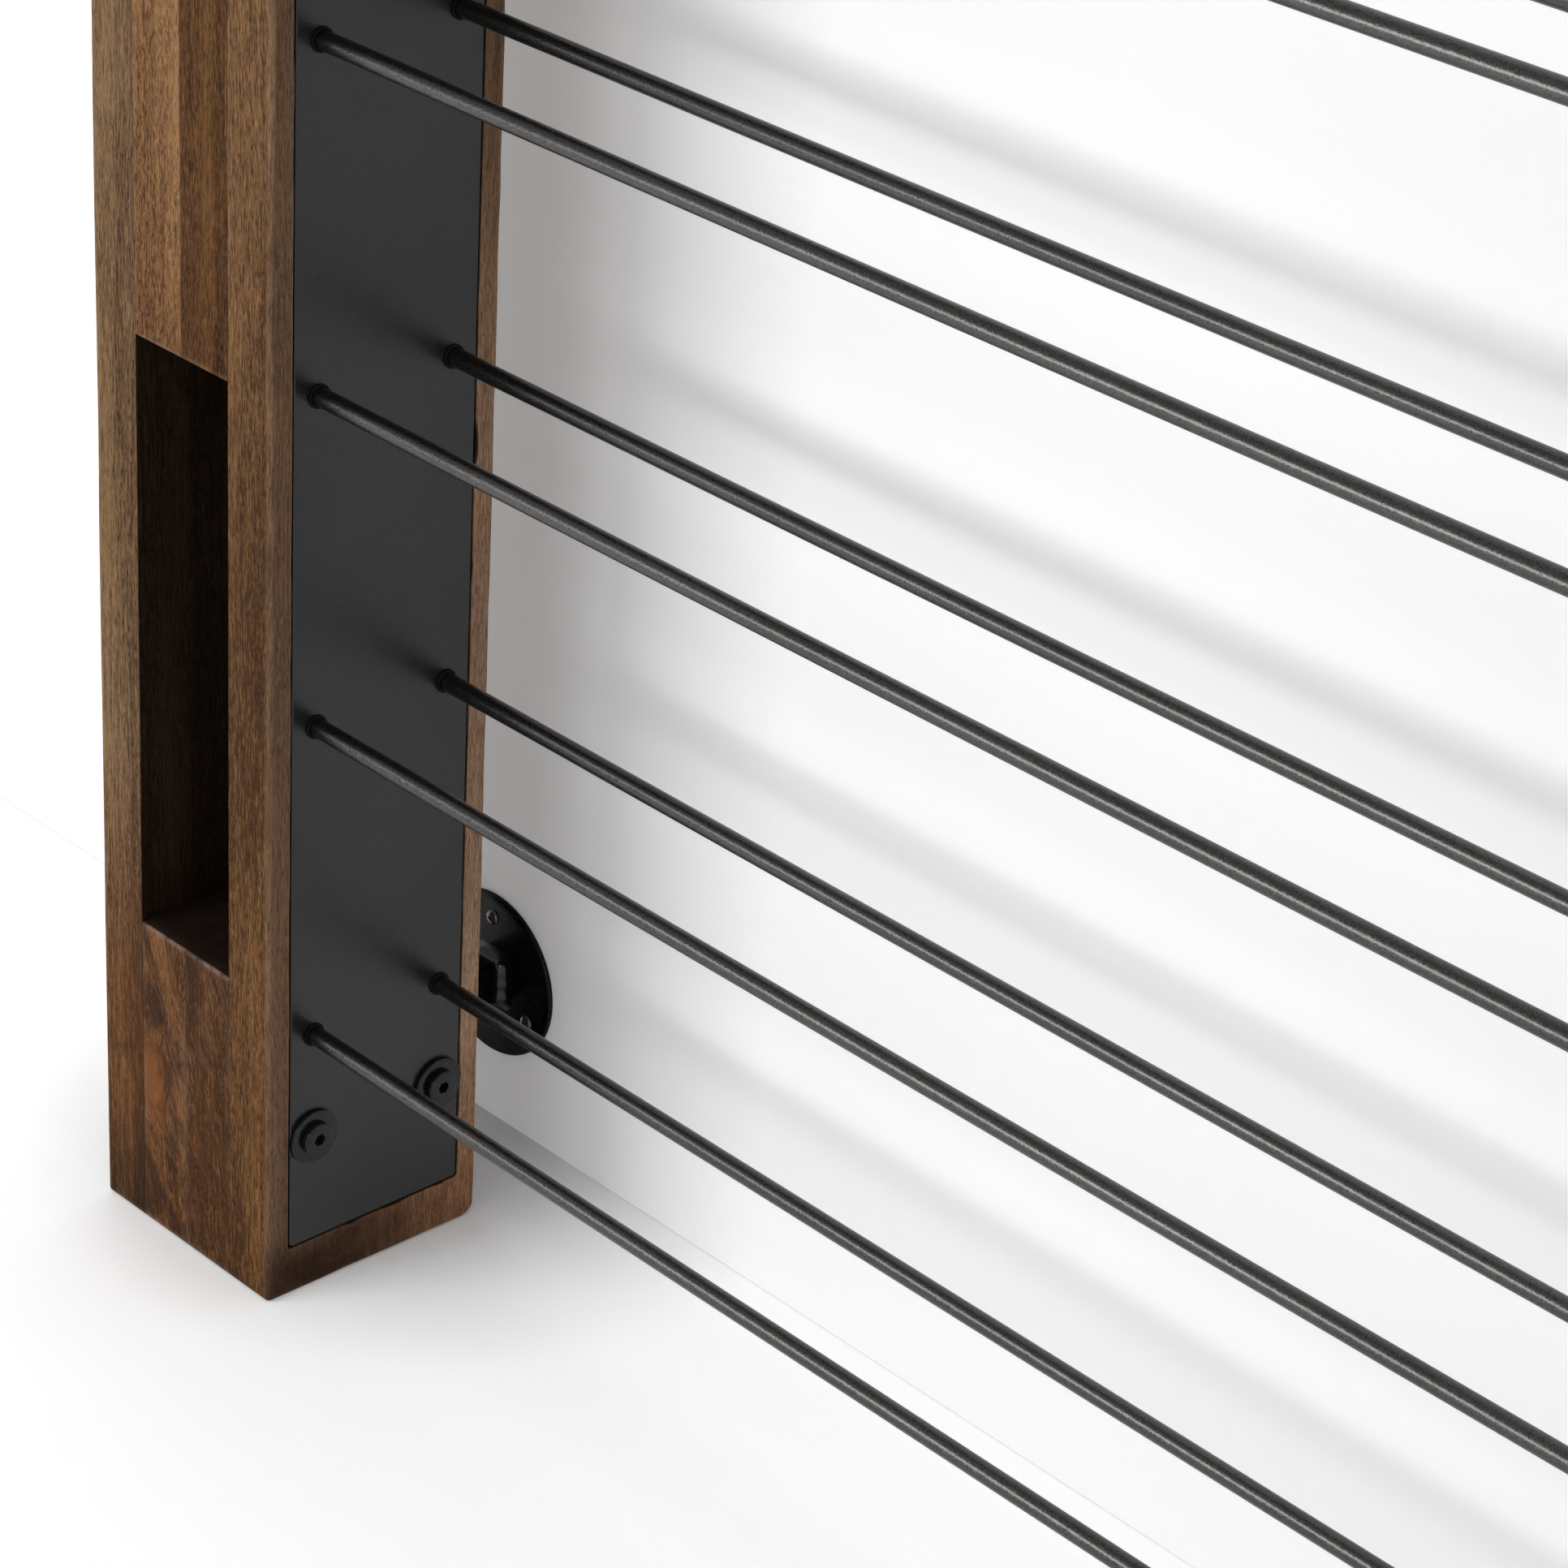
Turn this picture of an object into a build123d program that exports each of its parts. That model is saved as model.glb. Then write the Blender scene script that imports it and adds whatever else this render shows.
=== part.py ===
"""Wall-anchored rod rack: two laminated wooden posts with inlaid steel side plates and pairs of steel rods.

Millimetres, +Z up. The origin is on the floor, midway between the posts and midway between the front of
the posts and the wall. +X runs along the rods and +Y towards the wall.
"""
import os

from build123d import *

# Rods: a front and a rear rod at every level
rod_d = 8.0
rod_spacing = 68.0
rod_pitch = 145.0
first_rod_z = 126.0
rod_seat = 16.0
clear_span = 1000.0

# Dark ring on each rod end, seated on the side plate
collar_d = 10.4
collar_t = 1.2

# Steel side plate, let in flush with the post's inner face
plate_t = 3.0
plate_edge = 12.0
plate_end = 24.0
plate_corner_r = 2.0
recess_gap = 0.8

# Post: two full-height boards with a back board and short core blocks glued between them
wood_margin = 11.5
board_t = 27.5
strip_w = 30.0
strips_per_block = 2
back_board_t = 20.0
foot_block_h = 149.0
slot_h = 269.0
slot_count = 2
levels_per_slot = 3
edge_r = 3.0
end_r = 2.0
slot_edge_r = 1.0

# Screws with large washers at both ends of each side plate, in inserts in the inner board
screw_z = 76.0
screw_spacing = 68.0
shank_d = 8.0
head_d = 15.0
head_h = 3.0
washer_d = 25.0
washer_t = 2.0
insert_d = 12.0
insert_l = 15.0

# Wall bracket: round flange with a bevelled square collar, and a square tube let into the post's back
bracket_z = 76.0
wall_gap = 58.5
flange_d = 80.0
flange_t = 2.5
bevel_w = 5.0
bevel_h = 7.0
tube_side = 20.0
tube_wall = 2.0
tenon_l = 40.0
bolt_circle_d = 58.0
bolt_count = 3
bolt_hole_d = 6.0

# Clearances, each on one side of the fit
rod_fit = 0.2
collar_fit = 0.05
screw_fit = 0.2
thread_fit = 0.05
insert_fit = 0.05
tube_fit = 0.1
end_gap = 0.3
touch = 0.001

# Sizes and places that follow from the driving dimensions
plate_w = rod_spacing + 2 * plate_edge
post_depth = plate_w + 2 * wood_margin
core_w = strips_per_block * strip_w
post_width = 2 * board_t + core_w
core_block_h = levels_per_slot * rod_pitch - slot_h
post_h = 2 * foot_block_h + slot_count * slot_h + (slot_count - 1) * core_block_h
plate_h = post_h - 2 * plate_end
rod_l = clear_span + 2 * rod_seat
front_y = -(post_depth + wall_gap) / 2
back_y = front_y + post_depth
wall_y = back_y + wall_gap
post_y = (front_y + back_y) / 2
inner_x = -clear_span / 2
outer_x = inner_x - post_width
post_x = (inner_x + outer_x) / 2
core_x0 = outer_x + board_t
core_x1 = inner_x - board_t
rod_levels = [first_rod_z + rod_pitch * i for i in range(slot_count * levels_per_slot)]
rod_rows = {"front": post_y - rod_spacing / 2, "rear": post_y + rod_spacing / 2}
screw_rows = [post_y - screw_spacing / 2, post_y + screw_spacing / 2]
screw_levels = [screw_z, post_h - screw_z]
bracket_levels = {"lower": bracket_z, "upper": post_h - bracket_z}


def slab(x0, x1, y0, y1, z0, z1):
    """A box between two opposite corners."""
    centre = ((x0 + x1) / 2, (y0 + y1) / 2, (z0 + z1) / 2)
    return Pos(*centre) * Box(x1 - x0, y1 - y0, z1 - z0)


def rod_like(diameter, x0, x1, y, z):
    """A cylinder along X from x0 to x1."""
    return Pos((x0 + x1) / 2, y, z) * Rot(0, 90, 0) * Cylinder(diameter / 2, x1 - x0)


def square_bar(side, y0, y1, z):
    """A square bar along Y, centred on the left post."""
    return slab(post_x - side / 2, post_x + side / 2, y0, y1, z - side / 2, z + side / 2)


def post_envelope():
    """The outside of the left post: a square column with rounded long edges and softer ends."""
    column = slab(outer_x, inner_x, front_y, back_y, 0, post_h)
    column = fillet(column.edges().filter_by(Axis.Z), edge_r)
    ends = column.faces().sort_by(Axis.Z)
    return fillet(ends[0].edges() + ends[-1].edges(), end_r)


def plate_points(rows, levels):
    """Every (y, z) place at which the given rows and levels cross."""
    return [(y, z) for y in rows for z in levels]


def outer_board(envelope):
    return envelope & slab(outer_x, core_x0, front_y, back_y, 0, post_h)


def plate_blank(grow, x0, x1):
    """A plate outline, grown all round, between two X planes on the left post's inner face."""
    outline = RectangleRounded(plate_w + 2 * grow, plate_h + 2 * grow, plate_corner_r + grow)
    face = Plane((x0, post_y, post_h / 2), x_dir=(0, 1, 0), z_dir=(1, 0, 0)) * outline
    return extrude(face, x1 - x0)


def inner_board(envelope):
    """The board that carries the side plate: a shallow recess, rod sockets and insert holes."""
    recess_x = inner_x - plate_t
    board = envelope & slab(core_x1, inner_x, front_y, back_y, 0, post_h)
    board -= plate_blank(recess_gap, recess_x, inner_x)
    socket_x = inner_x - rod_seat - end_gap
    for y, z in plate_points(rod_rows.values(), rod_levels):
        board -= rod_like(rod_d + 2 * rod_fit, socket_x, recess_x, y, z)
    insert_x = recess_x - insert_l - end_gap
    for y, z in plate_points(screw_rows, screw_levels):
        board -= rod_like(insert_d + 2 * insert_fit, insert_x, recess_x, y, z)
    return board


def mortise(z):
    """The square hole that takes a bracket tube."""
    return square_bar(tube_side + 2 * tube_fit, back_y - tenon_l - end_gap, back_y, z)


def back_board(envelope):
    """Closes the back of every slot."""
    board = envelope & slab(core_x0, core_x1, back_y - back_board_t, back_y, 0, post_h)
    for z in bracket_levels.values():
        board -= mortise(z)
    return board


def core_spans():
    """Bottom and top of each core block, from the foot up."""
    heights = [foot_block_h] + [core_block_h] * (slot_count - 1) + [foot_block_h]
    spans = []
    z = 0
    for height in heights:
        spans.append((z, z + height))
        z += height + slot_h
    return spans


def slot_mouth(strip, z0, z1):
    """The front edges of a core strip where its top or bottom faces a slot."""
    slot_faces = [z for z in (z0, z1) if 0 < z < post_h]
    front = strip.edges().filter_by(Axis.X).group_by(Axis.Y)[0]
    return [e for e in front if any(abs(e.center().Z - z) < touch for z in slot_faces)]


def core_block(envelope, z0, z1):
    """Strips glued side by side, with the edges at the mouth of a slot eased."""
    strips = []
    for i in range(strips_per_block):
        x0 = core_x0 + i * strip_w
        strip = envelope & slab(x0, x0 + strip_w, front_y, back_y - back_board_t, z0, z1)
        for z in bracket_levels.values():
            strip -= mortise(z)
        strips.append(fillet(slot_mouth(strip, z0, z1), slot_edge_r))
    return strips


def side_plate():
    plate = plate_blank(0, inner_x - plate_t, inner_x)
    for y, z in plate_points(rod_rows.values(), rod_levels):
        plate -= rod_like(rod_d + 2 * rod_fit, inner_x - plate_t, inner_x, y, z)
    for y, z in plate_points(screw_rows, screw_levels):
        plate -= rod_like(shank_d + 2 * screw_fit, inner_x - plate_t, inner_x, y, z)
    return plate


def rod_collars():
    """A ring round each rod where it leaves the plate."""
    rings = []
    for y, z in plate_points(rod_rows.values(), rod_levels):
        ring = rod_like(collar_d, inner_x, inner_x + collar_t, y, z)
        rings.append(ring - rod_like(rod_d + 2 * collar_fit, inner_x, inner_x + collar_t, y, z))
    return rings


def washer(y, z):
    ring = rod_like(washer_d, inner_x, inner_x + washer_t, y, z)
    return ring - rod_like(shank_d + 2 * screw_fit, inner_x, inner_x + washer_t, y, z)


def plate_screw(y, z):
    """Flat low head on the washer and a shank that ends inside the insert."""
    head_x = inner_x + washer_t
    head = rod_like(head_d, head_x, head_x + head_h, y, z)
    return head + rod_like(shank_d, inner_x - plate_t - insert_l, head_x, y, z)


def threaded_insert(y, z):
    x0 = inner_x - plate_t - insert_l
    x1 = inner_x - plate_t
    return rod_like(insert_d, x0, x1, y, z) - rod_like(shank_d + 2 * thread_fit, x0, x1, y, z)


def wall_flange(z):
    """Round flange against the wall, with a bevelled square collar round the tube and holes for screws."""
    flange_y = wall_y - flange_t
    seat = Plane((post_x, wall_y, z), x_dir=(1, 0, 0), z_dir=(0, -1, 0))
    disc = extrude(seat * Circle(flange_d / 2), flange_t)
    foot = seat.offset(flange_t) * Rectangle(tube_side + 2 * bevel_w, tube_side + 2 * bevel_w)
    rim = seat.offset(flange_t + bevel_h) * Rectangle(tube_side + bevel_w, tube_side + bevel_w)
    flange = disc + loft([foot, rim])
    flange -= square_bar(tube_side + 2 * tube_fit, flange_y - bevel_h, flange_y, z)
    for place in PolarLocations(bolt_circle_d / 2, bolt_count, start_angle=90):
        flange -= extrude(seat * place * Circle(bolt_hole_d / 2), flange_t)
    return flange


def standoff_tube(z):
    """Square tube from the flange into the post's back."""
    y0 = back_y - tenon_l
    y1 = wall_y - flange_t
    return square_bar(tube_side, y0, y1, z) - square_bar(tube_side - 2 * tube_wall, y0, y1, z)


def both_sides(name, solids):
    """The left piece and its mirror image on the right, as two named nodes."""
    group = solids if isinstance(solids, list) else [solids]
    return {f"left_{name}": group, f"right_{name}": [mirror(s, about=Plane.YZ) for s in group]}


def on_both_plates(make):
    """One fastener at every screw place of both plates, as one group."""
    left = [make(y, z) for y, z in plate_points(screw_rows, screw_levels)]
    return left + [mirror(s, about=Plane.YZ) for s in left]


def rack():
    """Every node's name with its list of solids."""
    envelope = post_envelope()
    nodes = both_sides("outer_board", outer_board(envelope))
    nodes |= both_sides("inner_board", inner_board(envelope))
    nodes |= both_sides("back_board", back_board(envelope))
    for i, (z0, z1) in enumerate(core_spans(), start=1):
        nodes |= both_sides(f"core_block_{i}", core_block(envelope, z0, z1))
    nodes |= both_sides("side_plate", side_plate())
    nodes |= both_sides("rod_collars", rod_collars())
    for row, y in rod_rows.items():
        for i, z in enumerate(rod_levels, start=1):
            nodes[f"{row}_rod_{i:02d}"] = [rod_like(rod_d, -rod_l / 2, rod_l / 2, y, z)]
    nodes["plate_washers"] = on_both_plates(washer)
    nodes["plate_screws"] = on_both_plates(plate_screw)
    nodes["threaded_inserts"] = on_both_plates(threaded_insert)
    for level, z in bracket_levels.items():
        nodes |= both_sides(f"{level}_wall_flange", wall_flange(z))
        nodes |= both_sides(f"{level}_standoff_tube", standoff_tube(z))
    return nodes


os.makedirs("parts", exist_ok=True)
for node, solids in rack().items():
    shape = solids[0] if len(solids) == 1 else Compound(children=solids)
    export_step(shape, f"parts/{node}.step")
print(f"post {post_width:.0f} x {post_depth:.0f} x {post_h:.0f}, rods {rod_l:.0f} long")
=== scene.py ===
# %% [markdown]
# # A rod rack of wooden posts, black plates and steel rods
# The imported CAD model is the frame that everything else is built around: it gives the place and size of every
# board, rod and fastener. It is loaded first, and its outer box is kept.

# %% Load the frame
import bmesh
import bpy
import numpy as np
from mathutils import Euler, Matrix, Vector


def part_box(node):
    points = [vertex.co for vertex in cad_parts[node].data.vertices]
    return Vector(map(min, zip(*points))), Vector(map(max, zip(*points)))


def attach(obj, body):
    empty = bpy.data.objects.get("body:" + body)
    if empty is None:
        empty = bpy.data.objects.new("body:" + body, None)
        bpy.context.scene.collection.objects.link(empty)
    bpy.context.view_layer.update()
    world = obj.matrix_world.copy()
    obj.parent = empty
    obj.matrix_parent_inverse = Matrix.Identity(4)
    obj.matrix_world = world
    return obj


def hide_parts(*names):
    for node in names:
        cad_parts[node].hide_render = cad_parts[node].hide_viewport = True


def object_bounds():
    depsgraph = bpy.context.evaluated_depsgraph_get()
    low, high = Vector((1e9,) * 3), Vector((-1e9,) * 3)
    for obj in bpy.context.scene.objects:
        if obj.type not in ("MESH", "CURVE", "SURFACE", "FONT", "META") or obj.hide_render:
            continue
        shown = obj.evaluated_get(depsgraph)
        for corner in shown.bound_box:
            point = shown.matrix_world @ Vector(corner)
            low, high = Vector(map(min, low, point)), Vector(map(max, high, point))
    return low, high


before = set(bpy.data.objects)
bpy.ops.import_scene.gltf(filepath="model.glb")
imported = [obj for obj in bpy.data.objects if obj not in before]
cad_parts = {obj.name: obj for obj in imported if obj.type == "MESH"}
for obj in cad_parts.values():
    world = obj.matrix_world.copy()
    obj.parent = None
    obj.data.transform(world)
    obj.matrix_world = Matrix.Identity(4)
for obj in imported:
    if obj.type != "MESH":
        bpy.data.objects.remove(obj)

cad_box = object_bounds()
MM = 0.001
print("nodes:", len(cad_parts))

# %% [markdown]
# ## Camera
# The picture is a close view of the lower left corner, taken from the front right and from above with a long
# lens. The camera could be dragged into place by eye. Here it stands where a pinhole fit to the picture's straight
# lines puts it: a position, a point that it looks at, a small roll and a focal length.

# %% Camera
camera_at = Vector((0.8034, -1.1013, 1.1324))
looks_at = Vector((-0.3845, 0.0903, 0.2437))
roll_deg = 3.55
lens_mm = 106.0

camera_data = bpy.data.cameras.new("camera")
camera_data.lens = lens_mm
camera_data.sensor_width = 36.0
camera_data.clip_end = 50.0
camera = bpy.data.objects.new("camera", camera_data)
bpy.context.scene.collection.objects.link(camera)
camera.location = camera_at
aim = (looks_at - camera_at).to_track_quat("-Z", "Y")
camera.rotation_euler = (aim.to_matrix() @ Euler((0, 0, np.radians(roll_deg))).to_matrix()).to_euler()
bpy.context.scene.camera = camera
print("camera", [round(v, 3) for v in camera.location], "lens", lens_mm)

# %% [markdown]
# ## From arrays to meshes
# Every piece below is a surface P(i, j): a profile of points j carried through stations i. The whole surface is
# one numpy array, so a single helper can turn it into a mesh. Rows can close on themselves, and the first or last
# row can be closed by a fan. Values such as edge wear travel with the points as named attributes.

# %% Faces between points
def grid_faces(rows, cols, wrap_rows=False):
    """Quads between neighbouring points of a rows x cols grid whose columns close on themselves."""
    i = np.arange(rows if wrap_rows else rows - 1)[:, None]
    j = np.arange(cols)[None, :]
    a = i * cols + j
    b = i * cols + (j + 1) % cols
    up = (i + 1) % rows * cols
    return np.stack([a, b, up + (j + 1) % cols, up + j], -1).reshape(-1, 4)


def fan_faces(ring, centre):
    """Triangles from each side of a ring of point numbers to one centre point."""
    return np.stack([np.roll(ring, -1), ring, np.full(len(ring), centre)], -1)


print("a tube of 3 rings of 4 points has", len(grid_faces(3, 4)), "faces")

# %% A mesh piece
JOIN_WITHIN = 1e-7
SHARP_DEG = 38


def build(name, points, faces, material, slot, nodes=(), sharp_deg=SHARP_DEG, **attributes):
    """A mesh piece at the origin: joins doubled points, turns faces outwards, shades it and rides it on the rack."""
    mesh = bpy.data.meshes.new(name)
    mesh.from_pydata(points.reshape(-1, 3).tolist(), [], [f.tolist() for part in faces for f in part])
    for key, values in attributes.items():
        layer = mesh.attributes.new(key, "FLOAT", "POINT")
        layer.data.foreach_set("value", np.asarray(values, np.float32).ravel())
    shell = bmesh.new()
    shell.from_mesh(mesh)
    bmesh.ops.remove_doubles(shell, verts=shell.verts, dist=JOIN_WITHIN)
    bmesh.ops.recalc_face_normals(shell, faces=shell.faces)
    shell.to_mesh(mesh)
    shell.free()
    mesh.shade_smooth()
    mesh.set_sharp_from_angle(angle=np.radians(sharp_deg))
    piece = bpy.data.objects.new(name, mesh)
    bpy.context.scene.collection.objects.link(piece)
    mesh.materials.append(material)
    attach(piece, "root")
    if nodes:
        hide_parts(*nodes)
    return piece


# %% [markdown]
# ## Materials by nodes
# A finish is a small tree of nodes. Writing each node in four lines makes a tree hard to read, so one helper adds a
# node, sets its options and joins or fills its sockets in a single call. A socket knows its own tree, so the helpers
# take values alone. Patterns use Object coordinates, which are metres in the rack's own frame.

# %% Nodes in one call
def fill(node, **sockets):
    """Fills a node's sockets, named or numbered as i0, i1 and so on, each by value or by link."""
    for key, value in sockets.items():
        name = key.replace("_", " ")
        socket = node.inputs[int(name[1:])] if name[1:].isdigit() else node.inputs[name]
        if isinstance(value, bpy.types.NodeSocket):
            node.id_data.links.new(value, socket)
        else:
            socket.default_value = value


def add(kind, options=None, tree=None, **sockets):
    """A node of this kind, in the tree given or the one that its links come from; options are attributes."""
    tree = tree or next(v.id_data for v in sockets.values() if isinstance(v, bpy.types.NodeSocket))
    made = tree.nodes.new("ShaderNode" + kind)
    for key, value in (options or {}).items():
        setattr(made, key, value)
    fill(made, **sockets)
    return made


def calc(operation, a, b=0.0):
    """A Math node's result."""
    return add("Math", {"operation": operation}, i0=a, i1=b).outputs[0]


def times(a, b):
    """Two values multiplied."""
    return calc("MULTIPLY", a, b)


def minus(a, b):
    """One value less another."""
    return calc("SUBTRACT", a, b)


def weighed(*parts):
    """The sum of values, each times its weight."""
    total = times(*parts[0])
    for value, weight in parts[1:]:
        total = calc("ADD", total, times(value, weight))
    return total


def distance(a, b):
    """The length of two sides of a right angle, taken together: the root of a x a + b x b."""
    return calc("SQRT", calc("ADD", times(a, a), times(b, b)))


def parts_of(vector):
    """A vector's three parts."""
    return add("SeparateXYZ", Vector=vector).outputs


print("node kinds to choose from:", sum(kind.startswith("ShaderNode") for kind in dir(bpy.types)))

# %% Colours, noise and relief
RELIEF_DEPTH = 0.2 * MM


def mix(factor, a, b, blend="MIX"):
    """Two colours mixed by a factor."""
    made = add("Mix", {"data_type": "RGBA", "blend_type": blend}, i0=factor, i6=a, i7=b)
    return made.outputs[2]


def ramp(value, *stops):
    """A colour ramp through (position, colour) stops; a single number is a grey."""
    made = add("ValToRGB", Fac=value)
    marks = made.color_ramp.elements
    while len(marks) < len(stops):
        marks.new(0.5)
    for mark, (place, colour) in zip(marks, stops):
        mark.position = place
        mark.color = (*colour, 1) if isinstance(colour, tuple) else (colour, colour, colour, 1)
    return made.outputs[0]


def noise(vector, stretch, detail=2.0, rough=0.5, distort=0.0):
    """A noise value, with the pattern stretched by a factor along each axis."""
    placed = add("Mapping", Vector=vector, Scale=stretch).outputs[0]
    made = add("TexNoise", Vector=placed, Scale=1.0, Detail=detail, Roughness=rough, Distortion=distort)
    return made.outputs[0]


def start(name):
    """An empty material with its surface shader, and the Object coordinates."""
    material = bpy.data.materials.new(name)
    material.use_nodes = True
    tree = material.node_tree
    return material, tree.nodes["Principled BSDF"], add("TexCoord", tree=tree).outputs["Object"]


def relief(height, strength):
    """A surface normal from a height value."""
    return add("Bump", Strength=strength, Distance=RELIEF_DEPTH, Height=height).outputs[0]


print("relief is", RELIEF_DEPTH, "m deep")

# %% [markdown]
# ## Figure in the wood
# Near the foot the strips show lively wood: orange and dark patches with slanting pale strands, from where a
# branch met the stem, and curved dark bands of heartwood along the bottom of the inner board. Painting them by hand
# would fix them to one face. Here each is a region of space with a ragged edge, so it runs on round the corners.

# %% Wandering patterns
RAGGED = 16 * MM


def wander(vector, scale, detail):
    """A noise colour, whose three parts can push a vector off its line."""
    return add("TexNoise", Vector=vector, Scale=scale, Detail=detail).outputs[1]


def offset_by(vector, pattern, reach):
    """vector + reach x (pattern - middle grey)."""
    centred = add("VectorMath", {"operation": "SUBTRACT"}, i0=pattern, i1=(0.5, 0.5, 0.5)).outputs[0]
    scaled = add("VectorMath", {"operation": "SCALE"}, i0=centred, Scale=reach).outputs[0]
    return add("VectorMath", {"operation": "ADD"}, i0=vector, i1=scaled).outputs[0]


def oval(place, middle, wide, high):
    """1 in the middle (x, z) of a ragged upright oval and 0 from its edge on."""
    at = parts_of(offset_by(place, wander(place, 95.0, 4.0), RAGGED))
    across = calc("DIVIDE", minus(at[0], middle[0]), wide)
    up = calc("DIVIDE", minus(at[2], middle[1]), high)
    return ramp(distance(across, up), (0.35, 1.0), (1.0, 0.0))


print("an oval's edge is pushed by up to", RAGGED / 2, "m")

# %% Branch figure
STRAND_LEAN = np.radians(24)
HOLLOW_TONE = (0.036, 0.0160, 0.0092, 1)
EMBER_TONE = (0.205, 0.076, 0.024, 1)
STRAND_TONE = (0.215, 0.118, 0.058, 1)


def crotch(place, grain, colour, strength, embers, hollows):
    """Figure where a branch met the stem: patches of orange, dark hollows, and pale strands that lean across."""
    leant = add("Mapping", Vector=grain, Rotation=(0, STRAND_LEAN, 0)).outputs[0]
    ember = noise(leant, (44, 44, 17), 3.0, 0.55, 0.8)
    ember = ramp(ember, (0.54, 0.0), (0.74, 0.5 * strength))
    hollow = noise(leant, (58, 58, 21), 4.0, 0.6, 1.6)
    hollow = ramp(hollow, (0.47, 0.0), (0.62, 0.85 * strength))
    for spot in embers:
        ember = calc("MAXIMUM", ember, times(oval(place, *spot), 0.75))
    for spot in hollows:
        hollow = calc("MAXIMUM", hollow, times(oval(place, *spot), 0.9))
    patch = ramp(noise(grain, (38, 38, 19), 2.0), (0.46, 0.0), (0.62, strength))
    strand = ramp(noise(leant, (760, 760, 70), 3.0, 0.6, 0.4), (0.46, 0.0), (0.68, 0.8))
    colour = mix(hollow, colour, HOLLOW_TONE)
    colour = mix(ember, colour, EMBER_TONE)
    return mix(times(patch, strand), colour, STRAND_TONE)


print("strands lean by", round(float(np.degrees(STRAND_LEAN))), "degrees")

# %% Heart figure
board_low, board_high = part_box("left_inner_board")
INNER_X = abs(board_high.x)
HEART_TONES = [(0.019, 0.0080, 0.0048), (0.028, 0.0124, 0.0072), (0.052, 0.025, 0.014)]
BANDS_PER_M, HEART_SQUEEZE, HEART_HEIGHTS_PER_M = 300.0, 0.42, 20.0


def heart_swirl(place, colour, middle):
    """Figure at the foot of a board: curved dark bands round a middle (y, z), which fade out higher up, towards the
    rear and away from the inner face."""
    at = parts_of(offset_by(place, wander(place, 38.0, 3.0), 0.022))
    wide = times(minus(at[1], middle[0]), HEART_SQUEEZE)
    radius = distance(wide, minus(at[2], middle[1]))
    bands = add("TexNoise", {"noise_dimensions": "1D"}, W=times(radius, BANDS_PER_M), Scale=1.0,
                Detail=1.5, Roughness=0.5).outputs[0]
    banded = ramp(bands, *zip((0.32, 0.50, 0.70), HEART_TONES))
    low = ramp(times(at[2], HEART_HEIGHTS_PER_M), (0.28, 0.85), (0.74, 0.0))
    depth_in = calc("ABSOLUTE", parts_of(place)[0])
    inner = ramp(depth_in, (INNER_X + 0.001, 1.0), (INNER_X + 0.005, 0.0))
    front = ramp(calc("ADD", at[1], 0.5), (0.460, 1.0), (0.505, 0.15))
    return mix(times(low, times(front, inner)), colour, banded)


print("heart bands are about", round(1 / BANDS_PER_M / MM, 1), "mm wide")

# %% [markdown]
# ## Stained hardwood
# The posts are glued from strips of a brown hardwood, and each strip has its own tone and grain. A picture of wood
# would repeat and would not turn the corner from a face to an edge. Here the grain is a solid pattern: growth rings
# round a pith outside the strip, long fibres, short flecks, pale dashes and dark pores that run along Z, all swayed
# together; the pale dashes also stand in as painted sheen on the grain. The wood is darker and warmer towards the
# foot, so tone and tint follow the height.

# %% Grain
CENTRE_TONE = 2.05


def grain_space(place, shift, curl, figure):
    """Two coordinates for one strip: its own, slid along Z, and the same with the fibres' sway and ripple."""
    own = add("Mapping", Vector=place, Location=(0, 0, shift[2])).outputs[0]
    sway = add("Mapping", Vector=own, Scale=(11, 11, 3.2), Location=shift).outputs[0]
    grain = offset_by(own, wander(sway, 1.0, 3.0), 0.010 + 0.030 * figure)
    ripple = add("Mapping", Vector=own, Scale=(140, 140, 120)).outputs[0]
    return own, offset_by(grain, wander(ripple, 1.0, 2.0), 0.0026 * curl)


def growth_rings(grain, pith, rings, offset):
    """Noise along the distance from the pith (x, y), at this many rings to the metre."""
    at = parts_of(grain)
    radius = distance(minus(at[0], pith[0]), minus(at[1], pith[1]))
    ring_at = add("CombineXYZ", X=times(radius, rings), Y=times(at[2], 1.6), Z=offset).outputs[0]
    return add("TexNoise", Vector=ring_at, Scale=1.0, Detail=4.0, Roughness=0.62).outputs[0]


def wood_patterns(own, grain, ring, curl):
    """Tone = weighed sum of rings, clouds, fibres, lines and flecks. Also returns fibres, pores and pale dashes,
    which are partly painted sheen.
    """
    fibre = noise(grain, (1500, 1500, 60 + 100 * curl), 3.0, 0.65)
    line = noise(grain, (900, 900, 13), 2.0, 0.6)
    fleck = noise(grain, (1150, 1150, 300), 2.0, 0.6)
    cloud = noise(own, (26, 26, 7), 3.0, 0.55)
    pore = ramp(noise(grain, (1400, 1400, 115 + 130 * curl), 1.0), (0.585, 0.0), (0.66, 1.0))
    dash_and_sheen = noise(grain, (1500, 1500, 240 + 120 * curl), 2.0, 0.6)
    dash_and_sheen = ramp(dash_and_sheen, (0.50, 0.0), (0.66, 0.50))
    tone = weighed((ring, 1.2), (cloud, 0.8), (fibre, 1.6), (line, 0.6), (fleck, 0.9))
    return minus(tone, CENTRE_TONE), fibre, pore, dash_and_sheen


print("tones are centred by", CENTRE_TONE)
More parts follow.
